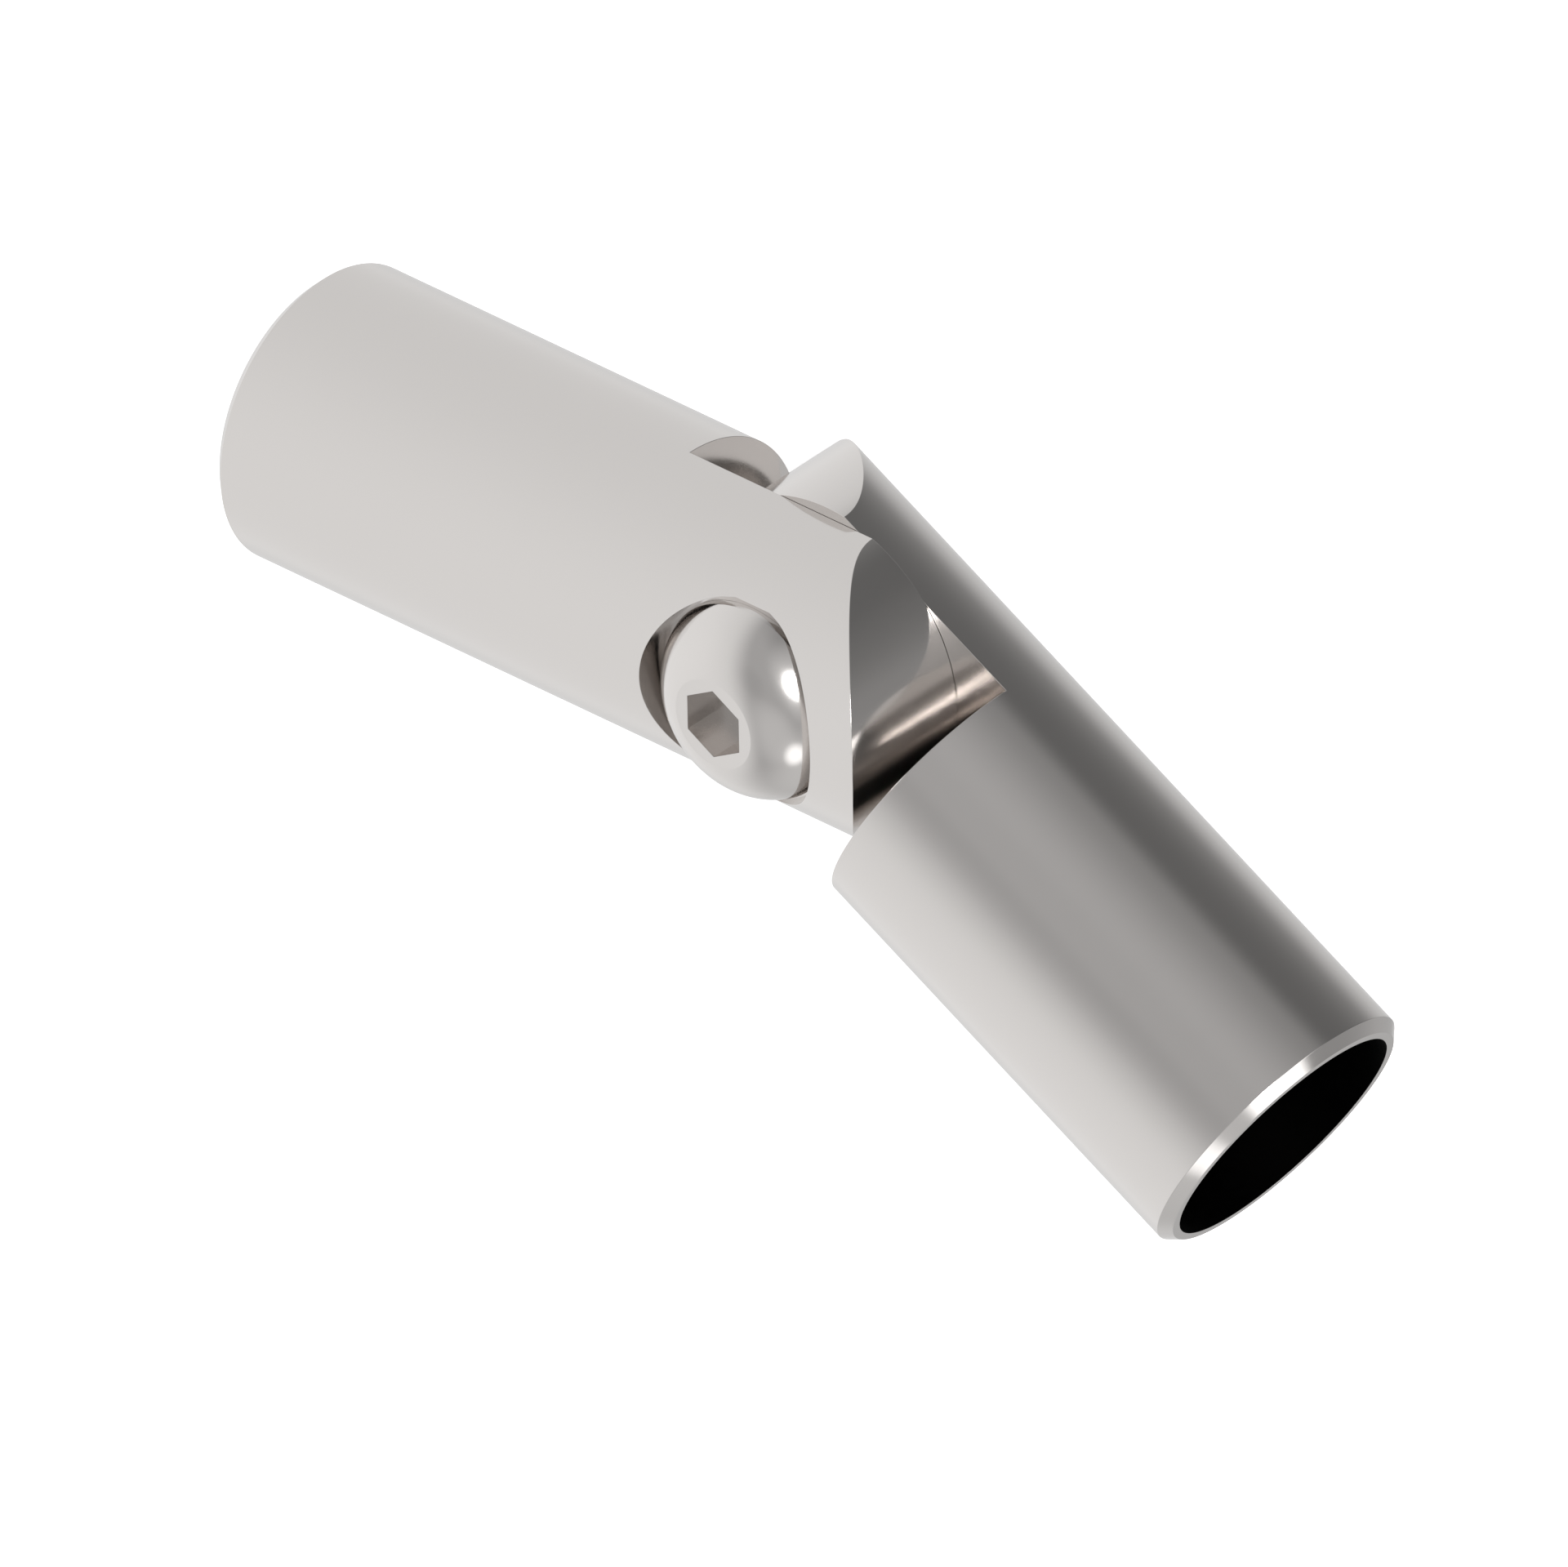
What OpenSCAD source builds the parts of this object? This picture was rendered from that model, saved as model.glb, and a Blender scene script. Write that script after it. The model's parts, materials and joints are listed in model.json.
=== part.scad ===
// Adjustable rod joint: two round steel ends, halved and lapped face to face,
// turn on one button-head screw and are clamped by it at any angle.
// The origin is the centre of the first rod socket's mouth. +X runs along that end
// to the pivot, and +Z is the pivot axis towards the screw's head. Millimetres.

/* [Rods] */
// Diameter of the rod that each socket takes
rod_d = 12; // [8:1:20]
// Radial gap between rod and socket, filled by the adhesive
rod_clearance = 0.1; // [0.05:0.05:0.3]

/* [Round ends] */
// Thickness of the wall round each socket
socket_wall = 0.9; // [0.8:0.1:3]
// Depth of each rod socket
socket_depth = 18; // [8:1:40]
// Solid metal between a socket's floor and the shoulder
socket_web = 4; // [1:0.5:10]
// Chamfer round the outside of each mouth
mouth_chamfer = 0.5; // [0.1:0.1:0.6]

/* [Lapped tongues] */
// How far the tongue's round end reaches past the body's own radius
tongue_overhang = 0.5; // [0.1:0.1:2]
// Gap between a tongue's round end and the other end's shoulder
swing_clearance = 0.5; // [0.2:0.1:2]
// Angle by which the second end is bent out of line
bend_angle = 29; // [-90:1:90]

/* [Screw holes] */
// Depth of the counterbore below the crown of the first tongue
counterbore_depth = 2; // [0.5:0.25:3]
// Radial gap round the screw's head in the counterbore
head_clearance = 0.25; // [0.1:0.05:0.5]
// Radial gap round the screw's shank in the first tongue
pivot_clearance = 0.1; // [0.05:0.01:0.2]
// Radial gap round the thread in the second tongue
thread_clearance = 0.05; // [0.02:0.01:0.1]
// Countersink round the threaded hole, at the lap face
lap_countersink = 0.3; // [0.1:0.1:0.6]
// Countersink round the threaded hole, below the crown of the second tongue
crown_countersink = 0.6; // [0.3:0.1:1]

/* [Screw] */
// Diameter of the screw's thread
screw_d = 5; // [3:1:6]
// Length of thread held in the second tongue
thread_engagement = 5; // [1:0.5:6]
// Chamfer at the screw's tip
tip_chamfer = 0.5; // [0.2:0.1:1]
// Diameter of the head
head_d = 9.5; // [8.5:0.5:12]
// Height of the head
head_h = 2.75; // [2.5:0.25:4]
// Height of the head's straight rim below the dome
rim_h = 0.4; // [0.2:0.1:1]
// Radius of the dome's curve, from the rim to the flat ring
dome_r = 3.43; // [3.2:0.1:8]
// Width across flats of the hex socket
hex_af = 3; // [2:0.5:3.5]
// Depth of the hex socket
hex_depth = 2; // [1:0.25:2.25]
// Width of the flat ring round the hex socket's corners
top_ring = 0.46; // [0.1:0.02:0.6]

/* [Hidden] */
$fn = 96;

steel = [0.78, 0.77, 0.75];
screw_steel = [0.70, 0.69, 0.68];

bore_r = rod_d / 2 + rod_clearance;
body_r = bore_r + socket_wall;
tongue_r = body_r + tongue_overhang;
shoulder = tongue_r + swing_clearance;
arm = socket_depth + socket_web + shoulder;

// Height of the head's seat above the lap face, and the length under the head
seat = body_r - counterbore_depth;
screw_length = seat + thread_engagement;

// Centre of the dome's curve, which passes through the rim's edge and the flat ring's edge
head_r = head_d / 2;
hex_r = hex_af / 2 / cos(30);
ring_r = hex_r + top_ring;
dome_run = head_r - ring_r;
dome_rise = head_h - rim_h;
dome_chord = norm([dome_run, dome_rise]);
dome_offset = sqrt(dome_r * dome_r - dome_chord * dome_chord / 4) / dome_chord;
dome_centre = [
    (head_r + ring_r) / 2 - dome_offset * dome_rise,
    (head_h + rim_h) / 2 - dome_offset * dome_run
];

// How far a cutting shape reaches past the metal that it cuts
past = 1;

// One round end, with its pivot at the origin and its mouth towards -X.
// The tongue is the half above the lap face z = 0.
module rod_end() {
    difference() {
        intersection() {
            round_bar();
            linear_extrude(height = 2 * (body_r + past), center = true) end_outline();
        }
        translate([-shoulder, -body_r - past, -body_r - past])
            cube([shoulder + tongue_r + past, 2 * (body_r + past), body_r + past]);
        translate([-arm - past, 0, 0]) rotate([0, 90, 0])
            cylinder(h = socket_depth + past, r = bore_r);
    }
}

// The bar that an end is cut from, with the chamfered mouth
module round_bar() {
    translate([-arm, 0, 0]) rotate([0, 90, 0]) {
        cylinder(h = mouth_chamfer, r1 = body_r - mouth_chamfer, r2 = body_r);
        translate([0, 0, mouth_chamfer])
            cylinder(h = arm + tongue_r + past - mouth_chamfer, r = body_r);
    }
}

// Plan of an end: straight sides, and a round tongue end about the pivot
module end_outline() {
    circle(r = tongue_r);
    translate([-arm - past, -tongue_r - past]) square([arm + past, 2 * (tongue_r + past)]);
}

// First end, with the plain pivot hole and the counterbore for the head
module counterbored_end() {
    color(steel) translate([arm, 0, 0]) difference() {
        rod_end();
        translate([0, 0, -past]) cylinder(h = seat + 2 * past, r = screw_d / 2 + pivot_clearance);
        translate([0, 0, seat]) cylinder(h = counterbore_depth + past, r = head_r + head_clearance);
    }
}

// Second end, turned over and bent out of line, with the threaded hole
module threaded_end() {
    hole_r = screw_d / 2 + thread_clearance;
    color(steel) translate([arm, 0, 0]) rotate([180, 0, 180 - bend_angle]) difference() {
        rod_end();
        translate([0, 0, -past]) cylinder(h = body_r + 2 * past, r = hole_r);
        countersink(hole_r, lap_countersink);
        translate([0, 0, body_r]) mirror([0, 0, 1]) countersink(hole_r, crown_countersink);
    }
}

// A cone that opens a hole's mouth at z = 0 and narrows upwards
module countersink(hole_r, depth) {
    translate([0, 0, -past])
        cylinder(h = depth + past, r1 = hole_r + depth + past, r2 = hole_r);
}

// Button-head screw: its seat is on the counterbore's floor
module clamp_screw() {
    color(screw_steel) translate([arm, 0, seat]) difference() {
        union() {
            rotate_extrude() head_outline();
            shank();
        }
        translate([0, 0, head_h - hex_depth]) rotate([0, 0, 30])
            cylinder(h = hex_depth + past, r = hex_r, $fn = 6);
    }
}

// Half section of the head
module head_outline() {
    square([ring_r, head_h]);
    square([head_r, rim_h]);
    intersection() {
        translate(dome_centre) circle(r = dome_r);
        square([head_r, head_h]);
    }
}

// The threaded length under the head, with the chamfered tip
module shank() {
    translate([0, 0, tip_chamfer - screw_length])
        cylinder(h = screw_length - tip_chamfer, r = screw_d / 2);
    translate([0, 0, -screw_length])
        cylinder(h = tip_chamfer, r1 = screw_d / 2 - tip_chamfer, r2 = screw_d / 2);
}

counterbored_end();
threaded_end();
clamp_screw();
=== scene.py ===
import json
from math import asin, atan2, ceil, cos, hypot, pi, radians, sin, sqrt, tan

import bmesh
import bpy
import numpy as np
from mathutils import Matrix, Vector
from mathutils.geometry import delaunay_2d_cdt


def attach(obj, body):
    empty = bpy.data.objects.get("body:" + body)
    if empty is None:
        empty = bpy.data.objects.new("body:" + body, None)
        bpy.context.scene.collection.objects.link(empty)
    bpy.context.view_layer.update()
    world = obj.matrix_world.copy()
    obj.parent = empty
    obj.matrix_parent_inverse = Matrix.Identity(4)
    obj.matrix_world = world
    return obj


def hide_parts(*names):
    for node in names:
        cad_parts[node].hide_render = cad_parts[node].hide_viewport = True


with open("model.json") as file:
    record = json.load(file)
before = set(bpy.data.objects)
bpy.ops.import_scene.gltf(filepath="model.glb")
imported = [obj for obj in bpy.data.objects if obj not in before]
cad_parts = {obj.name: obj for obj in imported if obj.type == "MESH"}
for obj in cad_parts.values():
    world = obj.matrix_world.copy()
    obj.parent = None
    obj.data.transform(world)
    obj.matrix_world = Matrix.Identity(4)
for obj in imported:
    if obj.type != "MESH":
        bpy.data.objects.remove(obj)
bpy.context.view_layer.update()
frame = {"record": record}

# Driving dimensions, as on the real joint
BORE_R = 6.1
BODY_R = 7.0
SOCKET_DEPTH = 18.0
MOUTH_CHAMFER = 0.5
TONGUE_R = 7.5
SHOULDER = 8.0
PIVOT_HOLE_R = 2.6
COUNTERBORE_R = 5.0
SEAT = 5.0
THREADED_HOLE_R = 2.55
LAP_COUNTERSINK = 0.3
CROWN_COUNTERSINK = 0.6
SCREW_TIP = -5.0
NECK = 0.5
HEAD_R = 4.75
HEAD_TOP = 7.75
RIM_TOP = 5.4
DOME_R = 3.43
RING_R = 2.19
HEX_AF = 3.0
HEX_FLOOR = 5.75

# M5 coarse thread: pitch, lean of each flank, pitch radius, and the radii of its crests and roots
PITCH = 0.8
FLANK_LEAN = radians(30)
PITCH_R = 2.24
SCREW_CREST_R = 2.5
SCREW_ROOT_R = 2.01
HOLE_CREST_R = 2.08
FLANK_CLEARANCE = 0.02

# How far each sharp outside edge is broken, and how far each lap face lies back from z = 0,
# so that the joint's line shows between the two tongues
EDGE_BREAK = 0.02
LAP_RELIEF = 0.008
# Edges that bend less than this stay as they are
SMOOTH_BEND = radians(6)
# A row's points keep at least this share of a step away from the edges of their patch
EDGE_SHARE = 0.45
# Lengths below this count as none
NOTHING = 1e-12
# How near the triangles' corners may be to an edge before they count as lying on it
ON_EDGE = 1e-9

# Fineness of the meshes: points round the bars, the holes and the head, and along their edges,
# and rows along a curved face
BAR_POINTS = 192
HOLE_POINTS = 96
HEAD_POINTS = 144
NOSE_POINTS = 72
TONGUE_POINTS = 9
SEAM_POINTS = 18
WALL_POINTS = 60
ROW_STEP = 1.2
DOME_ROWS = 26
THREAD_ROWS_PER_PITCH = 18

# How many of the counterbore wall's points are left out by each breakout, where the wall fades
# to nothing
FADED_POINTS = 2

MM = 0.001
WELD = 0.001 * MM
# How near two points of a thread are joined, in millimetres
THREAD_WELD = 1e-4

# The two axes that surfaces are turned about, each with the way that its turns are counted from
ALONG_BAR = ((1, 0, 0), (0, 1, 0))
ALONG_PIVOT = ((0, 0, 1), (1, 0, 0))

# The pivot's place, how far the first end's mouth is from it, and the way that the second end lies
sockets = {mount["name"]: mount for mount in frame["record"]["mounts"]}
second_mouth = Vector(sockets["rod_socket_b"]["axis"])
ARM = 30.0
LAY = atan2(second_mouth.y, second_mouth.x)


class Flat:
    """A plane, with its metal on the side away from the normal."""

    row_step = None

    def __init__(self, point, normal):
        self.point = Vector(point)
        self.up = Vector(normal).normalized()
        self.across = self.up.orthogonal().normalized()
        self.along = self.up.cross(self.across)

    def flatten(self, points, near=0.0):
        steps = [p - self.point for p in points]
        return [Vector((s.dot(self.across), s.dot(self.along))) for s in steps]

    def place(self, flat):
        return self.point + self.across * flat.x + self.along * flat.y

    def normal(self, flat):
        return self.up


class Turned:
    """A surface turned about an axis through the origin. Its profile runs from one (radius, height)
    to another, straight or as an arc about a centre, with the metal on the left of that run."""

    def __init__(self, axis, zero, start, end, centre=None, row_step=ROW_STEP, points=BAR_POINTS):
        self.axis = Vector(axis)
        self.zero = Vector(zero)
        self.quarter = self.axis.cross(self.zero)
        self.start = Vector(start)
        self.run = (Vector(end) - self.start).normalized()
        self.centre = Vector(centre) if centre else None
        self.reach = max(start[0], end[0])
        self.row_step = row_step
        self.points = points
        if self.centre:
            self.arc_r = (self.start - self.centre).length
            self.first = atan2(*(self.start - self.centre).yx)

    def station(self, radius, height):
        """Distance along the profile."""
        if self.centre:
            bend = atan2(height - self.centre.y, radius - self.centre.x)
            return (bend - self.first) * self.arc_r
        return (Vector((radius, height)) - self.start).dot(self.run)

    def profile(self, station):
        """Radius and height at a station, and the way that the profile faces there."""
        if self.centre:
            bend = self.first + station / self.arc_r
            facing = Vector((cos(bend), sin(bend)))
            return self.centre + facing * self.arc_r, facing
        return self.start + self.run * station, Vector((self.run.y, -self.run.x))

    def flatten(self, points, near=None):
        """Unrolls points that follow each other, so that no step goes more than half way round."""
        flat = []
        last = near
        for p in points:
            side = p.dot(self.zero)
            rise = p.dot(self.quarter)
            turn = atan2(rise, side)
            if last is not None:
                turn += 2 * pi * round((last - turn) / (2 * pi))
            last = turn
            flat.append(Vector((turn * self.reach, self.station(hypot(side, rise), p.dot(self.axis)))))
        return flat

    def place(self, flat):
        turn = flat.x / self.reach
        at, _ = self.profile(flat.y)
        return self.axis * at.y + (self.zero * cos(turn) + self.quarter * sin(turn)) * at.x

    def normal(self, flat):
        turn = flat.x / self.reach
        _, facing = self.profile(flat.y)
        return self.axis * facing.y + (self.zero * cos(turn) + self.quarter * sin(turn)) * facing.x


def area(loop):
    return sum(a.x * b.y - b.x * a.y for a, b in zip(loop, loop[1:] + loop[:1])) / 2


def inside(points, loops):
    """Which points lie inside the outer loop and outside its holes."""
    within = np.zeros(len(points), bool)
    for loop in loops:
        for a, b in zip(loop, loop[1:] + loop[:1]):
            if a.y == b.y:
                continue
            crosses = (points[:, 1] < a.y) != (points[:, 1] < b.y)
            at = a.x + (points[:, 1] - a.y) * (b.x - a.x) / (b.y - a.y)
            within ^= crosses & (points[:, 0] < at)
    return within


def sides(triangle):
    return [frozenset(pair) for pair in zip(triangle, triangle[1:] + triangle[:1])]


def inner_triangles(triangles, outline):
    """The triangles inside the outline and outside its holes, found by stepping from one to the next."""
    beside = {}
    for n, triangle in enumerate(triangles):
        for side in sides(triangle):
            beside.setdefault(side, []).append(n)
    within = {}
    waiting = [(found[0], side in outline) for side, found in beside.items() if len(found) == 1]
    while waiting:
        n, inner = waiting.pop()
        if n in within:
            continue
        within[n] = inner
        for side in sides(triangles[n]):
            waiting += [(other, inner != (side in outline)) for other in beside[side] if other != n]
    return [t for n, t in enumerate(triangles) if within[n]]


def set_in(before, corner, after, first, second):
    """Moves a corner to the left of both its edges, by first and by second."""
    a = (corner - before).normalized()
    b = (after - corner).normalized()
    n1 = Vector((-a.y, a.x))
    n2 = Vector((-b.y, b.x))
    likeness = n1.dot(n2)
    moved = corner + (n1 + n2) * ((first + second) / 2 / (1 + likeness))
    if first != second:
        moved += (n1 - n2) * ((first - second) / 2 / (1 - likeness))
    return moved


class Skin:
    """The outside of one solid: patches of true surfaces that share their boundary points.
    Each outside edge between two surfaces is broken by a narrow rounded strip."""

    def __init__(self):
        self.points = []
        self.patches = []
        self.owner = {}
        self.faces = []
        self.faded = set()

    def add(self, points):
        self.points += [Vector(p) for p in points]
        return list(range(len(self.points) - len(points), len(self.points)))

    def patch(self, surface, *loops, finish=0):
        """A patch of a surface, inside its first loop of point numbers and outside the others."""
        flats = []
        turned = []
        for n, loop in enumerate(loops):
            near = None
            if n and isinstance(surface, Turned):
                spread = [p.x / surface.reach for p in flats[0]]
                near = (min(spread) + max(spread)) / 2
            flat = surface.flatten([self.points[i] for i in loop], near)
            if (area(flat) > 0) == bool(n):
                flat.reverse()
                loop = loop[::-1]
            flats.append(flat)
            turned.append(loop)
            for i, j in zip(loop, loop[1:] + loop[:1]):
                self.owner[i, j] = surface
        self.patches.append((surface, turned, flats, finish))

    def facing(self, surface, i):
        return surface.normal(surface.flatten([self.points[i]])[0])

    def breadth(self, surface, i, j):
        """How far the edge from i to j is broken on this surface."""
        other = self.owner.get((j, i))
        if other is None or other is surface:
            return 0.0
        ridge = self.facing(surface, i).cross(self.facing(other, i))
        along = (self.points[j] - self.points[i]).normalized()
        return EDGE_BREAK if ridge.dot(along) > sin(SMOOTH_BEND) else 0.0

    def lay_patches(self):
        """Insets each patch from its broken edges, and fills it with triangles."""
        self.corner = {}
        for surface, loops, flats, finish in self.patches:
            inset = []
            for loop, flat in zip(loops, flats):
                steps = list(zip(loop, loop[1:] + loop[:1]))
                widths = [self.breadth(surface, i, j) for i, j in steps]
                moved = []
                for k, at in enumerate(flat):
                    new = at
                    if loop[k] not in self.faded:
                        after = flat[(k + 1) % len(flat)]
                        new = set_in(flat[k - 1], at, after, widths[k - 1], widths[k])
                    moved.append(new)
                    self.corner[loop[k], surface] = (surface.place(new), surface.normal(new), finish)
                inset.append(moved)
            self.fill(surface, inset, finish)

    def fill(self, surface, loops, finish):
        spots = [p for loop in loops for p in loop]
        squeeze = 1.0
        if isinstance(surface, Turned):
            step = surface.reach * 2 * pi / surface.points
            squeeze = step / surface.row_step
            spots += self.rows(surface, loops, step)
        edges = []
        first = 0
        for loop in loops:
            edges += [(first + k, first + (k + 1) % len(loop)) for k in range(len(loop))]
            first += len(loop)
        pressed = [Vector((p.x, p.y * squeeze)) for p in spots]
        _, _, triangles, sources, _, _ = delaunay_2d_cdt(pressed, edges, [], 0, ON_EDGE)
        triangles = [[sources[k][0] for k in t] for t in triangles]
        for t in inner_triangles(triangles, {frozenset(e) for e in edges}):
            self.faces.append([(surface.place(spots[k]), surface.normal(spots[k]), finish) for k in t])

    def rows(self, surface, loops, step):
        """Points in rows on a curved patch, a little away from its boundary."""
        outline = np.array([p for p in loops[0]])
        low = outline.min(0)
        high = outline.max(0)
        rows = max(1, round((high[1] - low[1]) / surface.row_step))
        us = np.arange(ceil(low[0] / step), high[0] / step) * step
        vs = low[1] + (high[1] - low[1]) * np.arange(1, rows) / rows
        grid = np.array([(u, v) for v in vs for u in us]).reshape(-1, 2)
        grid = grid[inside(grid, loops)]
        scale = np.array([step, surface.row_step]) * EDGE_SHARE
        for loop in loops:
            for a, b in zip(loop, loop[1:] + loop[:1]):
                start = np.array(a) / scale
                way = np.array(b) / scale - start
                offset = grid / scale - start
                share = np.clip(offset @ way / max(way @ way, NOTHING), 0, 1)
                grid = grid[np.linalg.norm(offset - share[:, None] * way, axis=1) > 1]
        return [Vector(p) for p in grid]

    def middle(self, i, j, a, b):
        """The crest of a broken edge at point i, where the edge runs on to j."""
        key = (i, frozenset((id(a), id(b))))
        if key not in self.crest:
            point = self.points[i]
            along = (self.points[j] - point).normalized()
            pa, na, fa = self.corner[i, a]
            pb, nb, fb = self.corner[i, b]
            edge = point + along * max(0, (pa + pb - point * 2).dot(along) / 2)
            self.crest[key] = ((pa + edge * 2 + pb) / 4, (na + nb).normalized(), max(fa, fb))
        return self.crest[key]

    def lay_edges(self):
        """Rounds the broken edges, and closes the corners where three surfaces meet."""
        self.crest = {}
        across = {}
        for (i, j), a in self.owner.items():
            b = self.owner.get((j, i))
            if b is None or b is a:
                continue
            across.setdefault(i, {})[a] = (b, j)
            start = self.middle(i, j, a, b)
            end = self.middle(j, i, a, b)
            self.faces.append([self.corner[i, a], start, end, self.corner[j, a]])
        for i, steps in across.items():
            if len(steps) < 3:
                continue
            ring = []
            a = next(iter(steps))
            for _ in steps:
                b, j = steps[a]
                ring += [self.corner[i, a], self.middle(i, j, a, b)]
                a = b
            ring.reverse()
            if len({tuple(round(x, 3) for x in c[0]) for c in ring}) < 4:
                continue
            mean = sum((c[0] for c in ring), Vector()) / len(ring)
            facing = sum((c[1] for c in ring), Vector()).normalized()
            for here, there in zip(ring, ring[1:] + ring[:1]):
                self.faces.append([here, there, (mean, facing, ring[0][2])])

    def add_mesh(self, mesh):
        """Takes in the faces of a mesh, such as a thread."""
        points = [v.co.copy() for v in mesh.vertices]
        normals = [n.vector.copy() for n in mesh.corner_normals]
        for face in mesh.polygons:
            corners = zip(face.vertices, face.loop_indices)
            self.faces.append([(points[v], normals[k], 0) for v, k in corners])

    def piece(self, name, placing, materials):
        """Makes the object: one closed mesh in the joint's frame, shaded by the true surfaces."""
        self.lay_patches()
        self.lay_edges()
        mesh = bpy.data.meshes.new(name)
        corners = [c for face in self.faces for c in face]
        ends = np.cumsum([len(face) for face in self.faces])
        spans = [range(end - len(face), end) for end, face in zip(ends, self.faces)]
        mesh.from_pydata([placing @ c[0] * MM for c in corners], [], [list(s) for s in spans])
        turn = placing.to_3x3()
        mesh.polygons.foreach_set("material_index", [min(c[2] for c in face) for face in self.faces])
        stored = mesh.attributes.new("facing", "FLOAT_VECTOR", "CORNER")
        stored.data.foreach_set("vector", [x for c in corners for x in turn @ c[1]])
        weld(mesh)
        facing = [d.vector.copy() for d in mesh.attributes["facing"].data]
        mesh.attributes.remove(mesh.attributes["facing"])
        mesh.shade_smooth()
        mesh.normals_split_custom_set(facing)
        for material in materials:
            mesh.materials.append(material)
        made = bpy.data.objects.new(name, mesh)
        bpy.context.scene.collection.objects.link(made)
        return made


def weld(mesh):
    work = bmesh.new()
    work.from_mesh(mesh)
    bmesh.ops.remove_doubles(work, verts=work.verts, dist=WELD)
    work.to_mesh(mesh)
    work.free()


def band(one, other, seam=()):
    """The boundary of a band between two rings of as many points, cut open along one seam."""
    seam = list(seam)
    return one + one[:1] + seam + other[:1] + other[:0:-1] + other[:1] + seam[::-1]


def turns(count, first=0.0, last=2 * pi):
    """Angles, or other steps, from first towards last, without the last one."""
    return [first + (last - first) * k / count for k in range(count)]


def round_z(radius, height, angles):
    return [(radius * cos(a), radius * sin(a), height) for a in angles]


def round_x(radius, x, angles):
    return [(x, radius * cos(a), radius * sin(a)) for a in angles]


def crossing(upright_r, along_r, angle):
    """Where a bar along X and a cylinder about Z meet, at an angle round the cylinder."""
    x = upright_r * cos(angle)
    y = upright_r * sin(angle)
    return x, y, sqrt(along_r**2 - y**2)


def bar_end(angle):
    """Where the bar meets the tongue's round nose, at an angle round the bar."""
    y = BODY_R * cos(angle)
    return sqrt(TONGUE_R**2 - y**2), y, BODY_R * sin(angle)


def rod_end(skin, crown_hole, lap_hole, steel=0, bore=1):
    """One round end, with its pivot at the origin, its mouth towards -X and its tongue above z = 0.
    The two holes are loops that the caller made, in the crown and in the lap face."""
    half = BAR_POINTS // 2
    low = BAR_POINTS * 3 // 4
    around = turns(BAR_POINTS)
    lip = skin.add(round_x(BODY_R, MOUTH_CHAMFER - ARM, around))
    face = skin.add(round_x(BODY_R - MOUTH_CHAMFER, -ARM, around))
    mouth = skin.add(round_x(BORE_R, -ARM, around))
    floor = skin.add(round_x(BORE_R, SOCKET_DEPTH - ARM, around))
    step = skin.add(round_x(BODY_R, -SHOULDER, around[half:] + [2 * pi]))
    nose = skin.add([bar_end(a) for a in around[: half + 1]])
    nose_x = sqrt(TONGUE_R**2 - BODY_R**2)
    stations = turns(TONGUE_POINTS, -SHOULDER, nose_x)[1:]
    left = skin.add([(x, BODY_R, LAP_RELIEF) for x in stations])
    right = skin.add([(x, -BODY_R, LAP_RELIEF) for x in stations])
    for end in (step[0], step[-1], nose[0], nose[-1]):
        skin.points[end].z = LAP_RELIEF
    corner = asin(BODY_R / TONGUE_R)
    foot = skin.add(round_z(TONGUE_R, LAP_RELIEF, turns(NOSE_POINTS, corner, -corner)[1:]))
    seam = skin.add([(x, 0, -BODY_R) for x in turns(SEAM_POINTS, MOUTH_CHAMFER - ARM, -SHOULDER)[1:]])

    turn = low - half
    outline = [lip[low]] + seam + step[turn:] + left + nose + right[::-1] + step[: turn + 1]
    outline += seam[::-1] + lip[low::-1] + lip[:low:-1]
    skin.patch(Turned(*ALONG_BAR, (BODY_R, -ARM), (BODY_R, TONGUE_R)), outline, crown_hole, finish=steel)
    chamfer = Turned(*ALONG_BAR, (BODY_R - MOUTH_CHAMFER, -ARM), (BODY_R, MOUTH_CHAMFER - ARM))
    skin.patch(chamfer, band(lip, face), finish=steel)
    skin.patch(Flat((-ARM, 0, 0), (-1, 0, 0)), face, mouth, finish=steel)
    tube = Turned(*ALONG_BAR, (BORE_R, SOCKET_DEPTH - ARM), (BORE_R, -ARM))
    skin.patch(tube, band(mouth, floor), finish=bore)
    skin.patch(Flat((SOCKET_DEPTH - ARM, 0, 0), (-1, 0, 0)), floor, finish=bore)
    skin.patch(Flat((-SHOULDER, 0, 0), (1, 0, 0)), step, finish=steel)
    lap = [step[-1]] + left + [nose[0]] + foot + [nose[-1]] + right[::-1] + [step[0]]
    skin.patch(Flat((0, 0, LAP_RELIEF), (0, 0, -1)), lap, lap_hole, finish=steel)
    end = Turned(*ALONG_PIVOT, (TONGUE_R, 0), (TONGUE_R, BODY_R))
    skin.patch(end, nose + foot[::-1], finish=steel)


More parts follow.
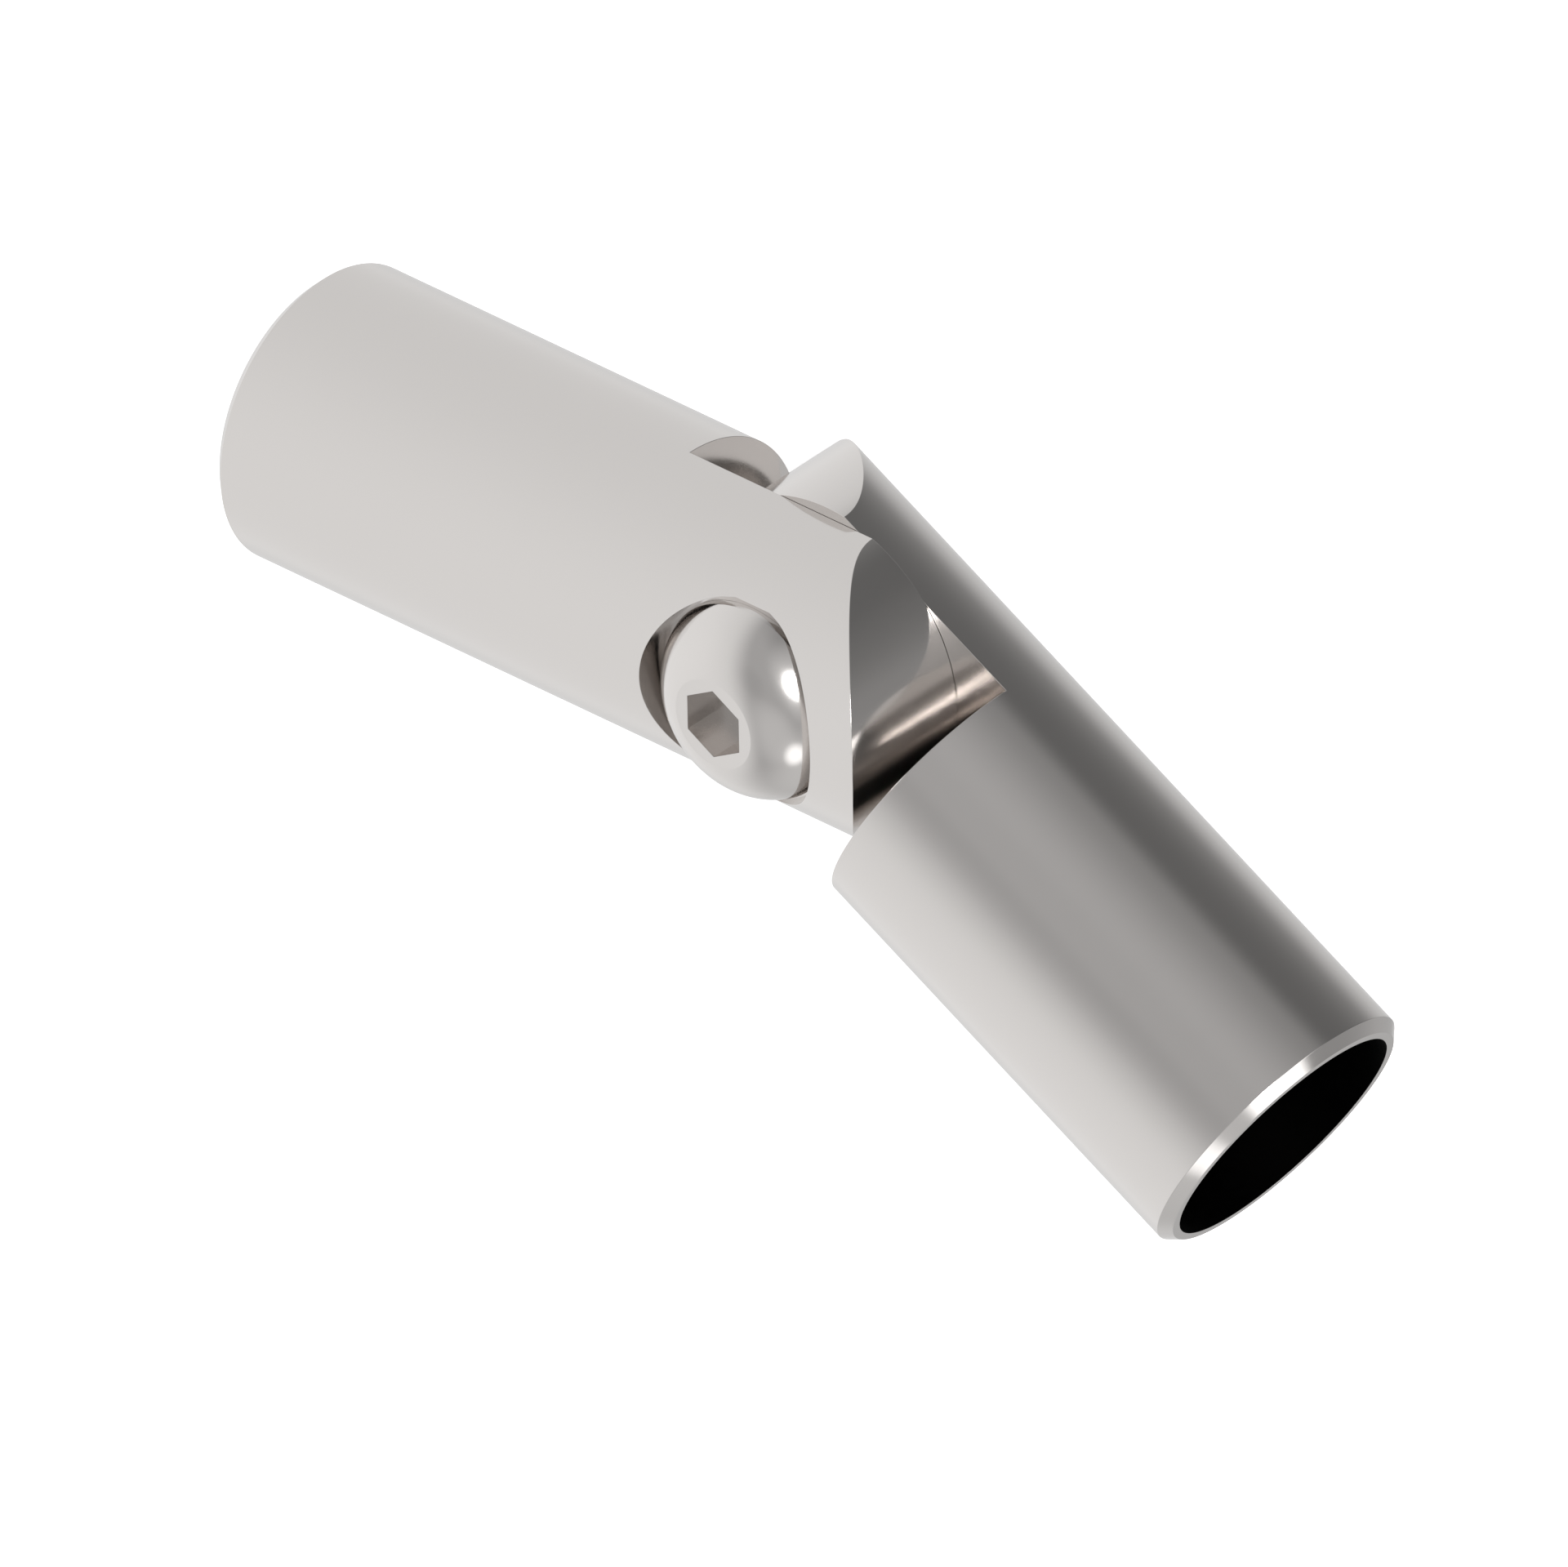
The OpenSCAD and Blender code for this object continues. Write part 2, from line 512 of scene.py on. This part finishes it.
def counterbored_skin():
    """The first end: a plain pivot hole, and a counterbore that breaks out at both sides."""
    skin = Skin()
    around = turns(HOLE_POINTS)
    lap_hole = skin.add(round_z(PIVOT_HOLE_R, LAP_RELIEF, around))
    seat_hole = skin.add(round_z(PIVOT_HOLE_R, SEAT, around))
    # The floor runs out through the bar's side, this far round from +X
    breakout = asin(sqrt(BODY_R**2 - SEAT**2) / COUNTERBORE_R)
    floor = []
    crown_hole = []
    wall = Turned(*ALONG_PIVOT, (COUNTERBORE_R, BODY_R), (COUNTERBORE_R, 0), points=HOLE_POINTS)
    for middle in (0, pi):
        angles = turns(WALL_POINTS, middle - breakout, middle + breakout)
        angles = angles[FADED_POINTS + 1 : -FADED_POINTS]
        ends = skin.add(round_z(COUNTERBORE_R, SEAT, [middle - breakout, middle + breakout]))
        skin.faded.update(ends)
        low = skin.add(round_z(COUNTERBORE_R, SEAT, angles))
        high = skin.add([crossing(COUNTERBORE_R, BODY_R, a) for a in angles])
        floor += ends[:1] + low + ends[1:]
        crown_hole += ends[:1] + high + ends[1:]
        skin.patch(wall, ends[:1] + low + ends[1:] + high[::-1])
    skin.patch(Flat((0, 0, SEAT), (0, 0, 1)), floor, seat_hole)
    hole = Turned(*ALONG_PIVOT, (PIVOT_HOLE_R, SEAT), (PIVOT_HOLE_R, 0), points=HOLE_POINTS)
    skin.patch(hole, band(lap_hole, seat_hole))
    rod_end(skin, crown_hole, lap_hole)
    return skin


def threaded_skin(lay):
    """The second end, with the tapped hole. lay is how far it is turned about the pivot when placed."""
    skin = Skin()
    around = turns(HOLE_POINTS)
    lap_mouth = skin.add(round_z(THREADED_HOLE_R + LAP_COUNTERSINK - LAP_RELIEF, LAP_RELIEF, around))
    thread_start = skin.add(round_z(THREADED_HOLE_R, LAP_COUNTERSINK, around))
    thread_end = skin.add(round_z(THREADED_HOLE_R, BODY_R - CROWN_COUNTERSINK, around))
    # The countersink's cone, radius = height - drop, meets the bar's side in a wavy edge
    drop = BODY_R - CROWN_COUNTERSINK - THREADED_HOLE_R
    rim = []
    for a in around:
        slant = 1 + sin(a) ** 2
        radius = (sqrt(drop**2 + slant * (BODY_R**2 - drop**2)) - drop) / slant
        rim.append((radius * cos(a), radius * sin(a), radius + drop))
    crown_mouth = skin.add(rim)
    inner = (THREADED_HOLE_R, LAP_COUNTERSINK)
    outer = (THREADED_HOLE_R + LAP_COUNTERSINK, 0)
    lap_cone = Turned(*ALONG_PIVOT, inner, outer, points=HOLE_POINTS)
    skin.patch(lap_cone, band(lap_mouth, thread_start))
    outer = (BODY_R - drop, BODY_R)
    inner = (THREADED_HOLE_R, BODY_R - CROWN_COUNTERSINK)
    crown_cone = Turned(*ALONG_PIVOT, outer, inner, points=HOLE_POINTS)
    skin.patch(crown_cone, band(crown_mouth, thread_end))
    rod_end(skin, crown_mouth, lap_mouth)
    skin.add_mesh(
        thread_mesh(
            side=-1,
            pitch_r=PITCH_R + FLANK_CLEARANCE,
            low_r=HOLE_CREST_R,
            high_r=THREADED_HOLE_R,
            start=LAP_COUNTERSINK,
            end=BODY_R - CROWN_COUNTERSINK,
            start_r=THREADED_HOLE_R,
            end_r=THREADED_HOLE_R,
            phase=lay / (2 * pi),
        )
    )
    return skin


def screw_skin():
    """The button-head screw: thread, neck, head and hex socket."""
    skin = Skin()
    shank = turns(HOLE_POINTS)
    head = turns(HEAD_POINTS)
    tip = skin.add(round_z(SCREW_ROOT_R, SCREW_TIP, shank))
    neck = skin.add(round_z(SCREW_ROOT_R, SEAT - NECK, shank))
    under = skin.add(round_z(SCREW_ROOT_R, SEAT, shank))
    rim_low = skin.add(round_z(HEAD_R, SEAT, head))
    rim_high = skin.add(round_z(HEAD_R, RIM_TOP, head))
    ring = skin.add(round_z(RING_R, HEAD_TOP, head))
    hex_r = HEX_AF / 2 / cos(pi / 6)
    hex_turns = turns(6, pi / 6, pi / 6 + 2 * pi)
    hex_top = skin.add(round_z(hex_r, HEAD_TOP, hex_turns))
    hex_low = skin.add(round_z(hex_r, HEX_FLOOR, hex_turns))
    skin.patch(Flat((0, 0, SCREW_TIP), (0, 0, -1)), tip)
    tube = Turned(*ALONG_PIVOT, (SCREW_ROOT_R, SEAT - NECK), (SCREW_ROOT_R, SEAT), points=HOLE_POINTS)
    skin.patch(tube, band(neck, under))
    skin.patch(Flat((0, 0, SEAT), (0, 0, -1)), rim_low, under)
    rim = Turned(*ALONG_PIVOT, (HEAD_R, SEAT), (HEAD_R, RIM_TOP), points=HEAD_POINTS)
    skin.patch(rim, band(rim_low, rim_high))
    start = Vector((HEAD_R, RIM_TOP))
    end = Vector((RING_R, HEAD_TOP))
    chord = end - start
    inward = Vector((-chord.y, chord.x)).normalized()
    centre = (start + end) / 2 + inward * sqrt(DOME_R**2 - chord.length_squared / 4)
    dome = Turned(*ALONG_PIVOT, start, end, centre=centre, points=HEAD_POINTS)
    dome.row_step = dome.station(*end) / DOME_ROWS
    stations = turns(DOME_ROWS, 0, dome.station(*end))[1:]
    seam = skin.add([(r, 0, z) for r, z in (dome.profile(s)[0] for s in stations)])
    skin.patch(dome, band(rim_high, ring, seam))
    skin.patch(Flat((0, 0, HEAD_TOP), (0, 0, 1)), ring, hex_top)
    skin.patch(Flat((0, 0, HEX_FLOOR), (0, 0, 1)), hex_low)
    for k in range(6):
        following = (k + 1) % 6
        middle = (skin.points[hex_top[k]] + skin.points[hex_top[following]]) / 2
        wall = Flat(middle, (-middle.x, -middle.y, 0))
        skin.patch(wall, [hex_top[k], hex_top[following], hex_low[following], hex_low[k]])
    skin.add_mesh(
        thread_mesh(
            side=1,
            pitch_r=PITCH_R - FLANK_CLEARANCE,
            low_r=SCREW_ROOT_R,
            high_r=SCREW_CREST_R,
            start=SCREW_TIP,
            end=SEAT - NECK,
            start_r=SCREW_ROOT_R,
            end_r=SCREW_ROOT_R,
            phase=0.0,
        )
    )
    return skin


def add_node(tree, kind, *inputs, named=None, **settings):
    """Adds a node, sets it, and feeds its inputs with numbers or with other nodes' outputs."""
    made = tree.nodes.new(kind)
    for name, value in settings.items():
        setattr(made, name, value)
    feeds = list(zip(made.inputs, inputs))
    feeds += [(made.inputs[name], value) for name, value in (named or {}).items()]
    for socket, value in feeds:
        if isinstance(value, bpy.types.NodeSocket):
            tree.links.new(value, socket)
        else:
            socket.default_value = value
    return made


def calculate(tree, operation, *inputs):
    kind = "ShaderNodeMath"
    return add_node(tree, kind, *inputs, operation=operation).outputs[0]


def thread_tree():
    """Geometry Nodes: a sheet rolled into a tube and pressed into a right-hand 60 degree thread.
    Side is 1 for a screw and -1 for a hole. Both ends are cut back by 45 degree cones."""
    tree = bpy.data.node_groups.new("thread_surface", "GeometryNodeTree")
    sizes = ["Pitch", "Pitch Radius", "Low Radius", "High Radius", "Start", "End"]
    sizes += ["Start Radius", "End Radius", "Side", "Phase"]
    for name in sizes:
        tree.interface.new_socket(name, in_out="INPUT", socket_type="NodeSocketFloat")
    for name in ("Around", "Along"):
        tree.interface.new_socket(name, in_out="INPUT", socket_type="NodeSocketInt")
    tree.interface.new_socket("Material", in_out="INPUT", socket_type="NodeSocketMaterial")
    tree.interface.new_socket("Geometry", in_out="OUTPUT", socket_type="NodeSocketGeometry")
    given = tree.nodes.new("NodeGroupInput").outputs
    columns = calculate(tree, "ADD", given["Around"], 1)
    rows = calculate(tree, "ADD", given["Along"], 1)
    sheet = add_node(tree, "GeometryNodeMeshGrid", 1.0, 1.0, columns, rows).outputs["Mesh"]
    spot = add_node(tree, "GeometryNodeInputPosition").outputs[0]
    spot = add_node(tree, "ShaderNodeSeparateXYZ", spot).outputs
    share = calculate(tree, "ADD", spot["X"], 0.5)
    rise = calculate(tree, "ADD", spot["Y"], 0.5)
    length = calculate(tree, "SUBTRACT", given["End"], given["Start"])
    height = calculate(tree, "MULTIPLY_ADD", rise, length, given["Start"])
    climb = calculate(tree, "DIVIDE", height, given["Pitch"])
    wave = calculate(tree, "ADD", calculate(tree, "SUBTRACT", climb, share), given["Phase"])
    wave = calculate(tree, "SUBTRACT", calculate(tree, "FRACT", wave), 0.5)
    away = calculate(tree, "MULTIPLY", calculate(tree, "ABSOLUTE", wave), given["Pitch"])
    quarter = calculate(tree, "MULTIPLY", given["Pitch"], 0.25)
    flank = calculate(tree, "SUBTRACT", quarter, away)
    flank = calculate(tree, "MULTIPLY_ADD", flank, 1 / tan(FLANK_LEAN), given["Pitch Radius"])
    ridge = calculate(tree, "MAXIMUM", flank, given["Low Radius"])
    ridge = calculate(tree, "MINIMUM", ridge, given["High Radius"])
    lead = calculate(tree, "SUBTRACT", height, given["Start"])
    lead = calculate(tree, "MULTIPLY_ADD", lead, given["Side"], given["Start Radius"])
    tail = calculate(tree, "SUBTRACT", given["End"], height)
    tail = calculate(tree, "MULTIPLY_ADD", tail, given["Side"], given["End Radius"])
    least = calculate(tree, "MULTIPLY", ridge, given["Side"])
    for cone in (lead, tail):
        least = calculate(tree, "MINIMUM", least, calculate(tree, "MULTIPLY", cone, given["Side"]))
    radius = calculate(tree, "MULTIPLY", least, given["Side"])
    turn = calculate(tree, "MULTIPLY", share, 2 * pi)
    x = calculate(tree, "MULTIPLY", radius, calculate(tree, "COSINE", turn))
    y = calculate(tree, "MULTIPLY", radius, calculate(tree, "SINE", turn))
    rolled = add_node(tree, "ShaderNodeCombineXYZ", x, y, height).outputs[0]
    shape = add_node(tree, "GeometryNodeSetPosition", sheet, True, rolled).outputs[0]
    hollow = calculate(tree, "LESS_THAN", given["Side"], 0.0)
    shape = add_node(tree, "GeometryNodeFlipFaces", shape, hollow).outputs[0]
    join = {"Distance": THREAD_WELD}
    shape = add_node(tree, "GeometryNodeMergeByDistance", shape, named=join).outputs[0]
    shape = add_node(tree, "GeometryNodeSetShadeSmooth", shape).outputs[0]
    shape = add_node(tree, "GeometryNodeRealizeInstances", shape).outputs[0]
    cover = {"Material": given["Material"]}
    shape = add_node(tree, "GeometryNodeSetMaterial", shape, named=cover).outputs[0]
    add_node(tree, "NodeGroupOutput", shape)
    return tree


def thread_mesh(side, pitch_r, low_r, high_r, start, end, start_r, end_r, phase):
    """One thread's surface, as a plain mesh in millimetres about the pivot axis."""
    tree = bpy.data.node_groups.get("thread_surface") or thread_tree()
    holder = bpy.data.objects.new("thread", bpy.data.meshes.new("thread"))
    bpy.context.scene.collection.objects.link(holder)
    modifier = holder.modifiers.new("thread", "NODES")
    modifier.node_group = tree
    values = {
        "Pitch": PITCH,
        "Pitch Radius": pitch_r,
        "Low Radius": low_r,
        "High Radius": high_r,
        "Start": start,
        "End": end,
        "Start Radius": start_r,
        "End Radius": end_r,
        "Side": float(side),
        "Phase": phase,
        "Around": HOLE_POINTS,
        "Along": round((end - start) / PITCH * THREAD_ROWS_PER_PITCH),
        "Material": bpy.data.materials["screw_steel"],
    }
    for item in tree.interface.items_tree:
        if item.in_out == "INPUT":
            modifier[item.identifier] = values[item.name]
    bpy.context.view_layer.update()
    evaluated = holder.evaluated_get(bpy.context.evaluated_depsgraph_get())
    mesh = bpy.data.meshes.new_from_object(evaluated)
    bpy.data.objects.remove(holder)
    return mesh


# Colour of the bare stainless steel, seen straight on, and how rough its satin finish is
STEEL = (0.7, 0.675, 0.657, 1.0)
ROUGHNESS = 0.14
ROUGHNESS_SPREAD = 0.02

# The finish, in cycles a metre: the tool's fine rings, broad clouds, and a fine grain over both
RINGS = 5200.0
CLOUDS = 260.0
GRAIN = 9000.0
GRAIN_SHARE = 0.4
FINISH_DEPTH = 0.002 * MM
FINISH_STRENGTH = 0.12

# The sockets' bores: painted shade, a nearly black colour that stands in for the shade deep inside them
BORE_PAINTED_SHADE = (0.0016, 0.0015, 0.0014, 1.0)
BORE_CLOUDS = 1500.0
BORE_ROUGHNESS = (0.5, 0.7)

# The rings' share in the roughness, beside the clouds, and the levels that a noise mostly lies between
RING_SHARE = 0.5
NOISE_LIMITS = (0.3, 0.7)


def new_tree(name):
    """A new material and its node tree, still empty."""
    material = bpy.data.materials.new(name)
    material.use_nodes = True
    material.node_tree.nodes.clear()
    return material, material.node_tree


def noise(tree, spot, scale, detail=2.0):
    feeds = {"Vector": spot, "Scale": scale, "Detail": detail}
    return add_node(tree, "ShaderNodeTexNoise", named=feeds).outputs["Fac"]


def bare_metal(tree, colour, **others):
    """Ends a material's tree in a metal of this colour."""
    feeds = {"Base Color": colour, "Metallic": 1.0}
    feeds.update(others)
    surface = add_node(tree, "ShaderNodeBsdfPrincipled", named=feeds).outputs[0]
    add_node(tree, "ShaderNodeOutputMaterial", surface)


def satin_steel(name, axis_turn, centre):
    """Fine-turned satin steel. The tool's rings run round a bar whose axis is turned axis_turn
    radians from +X about Z, or round Z itself if that is None."""
    material, tree = new_tree(name)
    spot = add_node(tree, "ShaderNodeTexCoord").outputs["Object"]
    turn = (0, pi / 2, 0) if axis_turn is None else (0, 0, -axis_turn)
    moved = add_node(tree, "ShaderNodeVectorMath", spot, centre, operation="SUBTRACT").outputs[0]
    laid = add_node(tree, "ShaderNodeMapping", moved, named={"Rotation": turn}).outputs[0]
    parts = add_node(tree, "ShaderNodeSeparateXYZ", laid).outputs
    y_squared = calculate(tree, "POWER", parts["Y"], 2.0)
    z_squared = calculate(tree, "POWER", parts["Z"], 2.0)
    across = calculate(tree, "SQRT", calculate(tree, "ADD", y_squared, z_squared))
    ring_spot = add_node(tree, "ShaderNodeCombineXYZ", parts["X"], across, 0.0).outputs[0]
    rings = noise(tree, ring_spot, RINGS, detail=3.0)
    clouds = noise(tree, laid, CLOUDS, detail=4.0)
    grain = noise(tree, laid, GRAIN)
    cloudy = calculate(tree, "MULTIPLY", clouds, 1 - RING_SHARE)
    mixed = calculate(tree, "MULTIPLY_ADD", rings, RING_SHARE, cloudy)
    limits = (ROUGHNESS - ROUGHNESS_SPREAD, ROUGHNESS + ROUGHNESS_SPREAD)
    rough = add_node(tree, "ShaderNodeMapRange", mixed, *NOISE_LIMITS, *limits).outputs[0]
    height = calculate(tree, "MULTIPLY_ADD", grain, GRAIN_SHARE, rings)
    relief = {"Strength": FINISH_STRENGTH, "Distance": FINISH_DEPTH, "Height": height}
    bump = add_node(tree, "ShaderNodeBump", named=relief).outputs[0]
    bare_metal(tree, STEEL, Roughness=rough, Normal=bump)
    return material


def painted_shade_bore(name):
    """The sockets' unpolished walls, with painted shade: a nearly black colour for the shade deep in the
    bores.
    """
    material, tree = new_tree(name)
    spot = add_node(tree, "ShaderNodeTexCoord").outputs["Object"]
    clouds = noise(tree, spot, BORE_CLOUDS)
    rough = add_node(tree, "ShaderNodeMapRange", clouds, *NOISE_LIMITS, *BORE_ROUGHNESS).outputs[0]
    bare_metal(tree, BORE_PAINTED_SHADE, Roughness=rough)
    return material


pivot = Vector((ARM * MM, 0, 0))
place_first = Matrix.Translation((ARM, 0, 0))
# The second end is turned over, and then round to where it lies
place_second = place_first @ Matrix.Rotation(pi + LAY, 4, "Z") @ Matrix.Rotation(pi, 4, "X")

steel_first = satin_steel("satin_steel_first", 0.0, pivot)
steel_second = satin_steel("satin_steel_second", LAY, pivot)
steel_screw = satin_steel("screw_steel", None, pivot)
# The bores' material is painted shade: nearly black metal in place of the shade inside the sockets
bore_with_painted_shade = painted_shade_bore("painted_shade_bore")

first = counterbored_skin().piece("counterbored_end_finished", place_first, [steel_first, bore_with_painted_shade])
second = threaded_skin(pi + LAY).piece("threaded_end_finished", place_second, [steel_second, bore_with_painted_shade])
screw = screw_skin().piece("clamp_screw_finished", place_first, [steel_screw])

for made, body, slot in (
    (first, "counterbored_end", "satin_steel"),
    (second, "threaded_end", "satin_steel"),
    (screw, "clamp_screw", "screw_steel"),
):
    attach(made, body)
    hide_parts(body)


# Where the camera stands: the picture's right and its up, seen from the joint, and what it aims at.
# It is a parallel view, as the photograph is one from very far away, and so wide
CAMERA_RIGHT = Vector((0.7509635, -0.0177043, -0.6601064))
CAMERA_UP = Vector((-0.3540829, 0.8329853, -0.4251598))
CAMERA_AIM = Vector((30.590, -4.878, 3.825))
CAMERA_DISTANCE = 200.0
CAMERA_WIDTH = 68.9425
CAMERA_NEAREST = 1.0
CAMERA_FARTHEST = 10000.0


def add_camera():
    data = bpy.data.cameras.new("camera")
    data.type = "ORTHO"
    data.ortho_scale = CAMERA_WIDTH * MM
    data.clip_start = CAMERA_NEAREST * MM
    data.clip_end = CAMERA_FARTHEST * MM
    camera = bpy.data.objects.new("camera", data)
    bpy.context.scene.collection.objects.link(camera)
    back = CAMERA_RIGHT.cross(CAMERA_UP)
    turn = Matrix((CAMERA_RIGHT, CAMERA_UP, back)).transposed().to_4x4()
    camera.matrix_world = Matrix.Translation((CAMERA_AIM + back * CAMERA_DISTANCE) * MM) @ turn
    bpy.context.scene.camera = camera


# The floor: its size in metres, its gap under the joint, its colour, and how much it glows to the camera
FLOOR_SIZE = 3.0
FLOOR_GAP = 0.02
FLOOR_PALE = (0.8, 0.8, 0.8, 1.0)
FLOOR_GLOW = 0.8
WHITE = (1.0, 1.0, 1.0, 1.0)


def add_floor():
    spot = (ARM * MM, 0, (-BODY_R - FLOOR_GAP) * MM)
    bpy.ops.mesh.primitive_plane_add(size=FLOOR_SIZE, location=spot)
    floor = bpy.context.object
    floor.name = "floor"
    material, tree = new_tree("pale_floor")
    pale = add_node(tree, "ShaderNodeBsdfDiffuse", FLOOR_PALE).outputs[0]
    glow = add_node(tree, "ShaderNodeEmission", WHITE, FLOOR_GLOW).outputs[0]
    lit = add_node(tree, "ShaderNodeAddShader", pale, glow).outputs[0]
    seen = add_node(tree, "ShaderNodeLightPath").outputs["Is Camera Ray"]
    mixed = add_node(tree, "ShaderNodeMixShader", seen, pale, lit).outputs[0]
    add_node(tree, "ShaderNodeOutputMaterial", mixed)
    floor.data.materials.append(material)
    floor.visible_glossy = False
    floor.visible_transmission = False


# Patches of light or shade round the joint: azimuth, elevation, full within, gone beyond (degrees),
# and how much each adds. The backdrop's patches give the share of white. The studio's give the
# grey, and its last five are the lights
BACKDROP = (
    (181, 4, 60, 87, 0.54),
    (181, 3, 0, 95, 0.48),
    (84, -45, 0, 144, -0.14),
    (-132, -38, 0, 35, -0.27),
)
STUDIO_LEVEL = 0.484
STUDIO = (
    (58, -59, 23, 41, -0.144),
    (37, -29, 31, 73, -0.186),
    (88, 72, 0, 19, -0.043),
    (-57, -5, 0, 59, 0.21),
    (-48, 59, 0, 34, 0.17),
    (32, 7, 0, 51, 0.3),
    (33, 25.5, 8, 13, 18.0),
    (31, 21, 11, 19, 1.1),
    (-50, 27, 0, 15.5, 1.0),
    (-13, -4, 10, 20, 1.6),
    (6, -13, 6, 12, 2.0),
)
# How many times light goes on from one steel face to another in the notch and the hex socket
REFLECTIONS = 6


def patchwork(tree, way, level, patches):
    """A level with round, soft-edged patches added to it, by direction."""
    total = level
    for azimuth, elevation, full, gone, amount in patches:
        a = radians(azimuth)
        e = radians(elevation)
        centre = (cos(e) * cos(a), cos(e) * sin(a), sin(e))
        lean = add_node(tree, "ShaderNodeVectorMath", way, centre, operation="DOT_PRODUCT")
        lean = lean.outputs["Value"]
        limits = (cos(radians(gone)), cos(radians(full)), 0.0, 1.0)
        share = add_node(tree, "ShaderNodeMapRange", lean, *limits, interpolation_type="SMOOTHSTEP")
        total = calculate(tree, "MULTIPLY_ADD", share.outputs[0], amount, total)
    return total


def add_world():
    """A grey studio with its lights, and a white backdrop. The camera sees only the backdrop. Metal
    sees it too, where it is in the studio: behind the joint. The rest of the studio keeps its shade."""
    world = bpy.data.worlds.new("studio")
    bpy.context.scene.world = world
    world.use_nodes = True
    tree = world.node_tree
    tree.nodes.clear()
    way = add_node(tree, "ShaderNodeTexCoord").outputs["Generated"]
    grey = patchwork(tree, way, STUDIO_LEVEL, STUDIO)
    grey = add_node(tree, "ShaderNodeCombineColor", grey, grey, grey).outputs[0]
    studio = add_node(tree, "ShaderNodeBackground", grey, 1.0).outputs[0]
    white = add_node(tree, "ShaderNodeBackground", WHITE, 1.0).outputs[0]
    behind = patchwork(tree, way, 0.0, BACKDROP)
    ray = add_node(tree, "ShaderNodeLightPath").outputs
    metal = calculate(tree, "ADD", ray["Is Glossy Ray"], ray["Is Transmission Ray"])
    shown = calculate(tree, "MULTIPLY_ADD", metal, behind, ray["Is Camera Ray"])
    mixed = add_node(tree, "ShaderNodeMixShader", shown, studio, white).outputs[0]
    add_node(tree, "ShaderNodeOutputWorld", mixed)


add_camera()
add_floor()
add_world()
bpy.context.scene.view_settings.view_transform = "Standard"
bpy.context.scene.cycles.glossy_bounces = REFLECTIONS
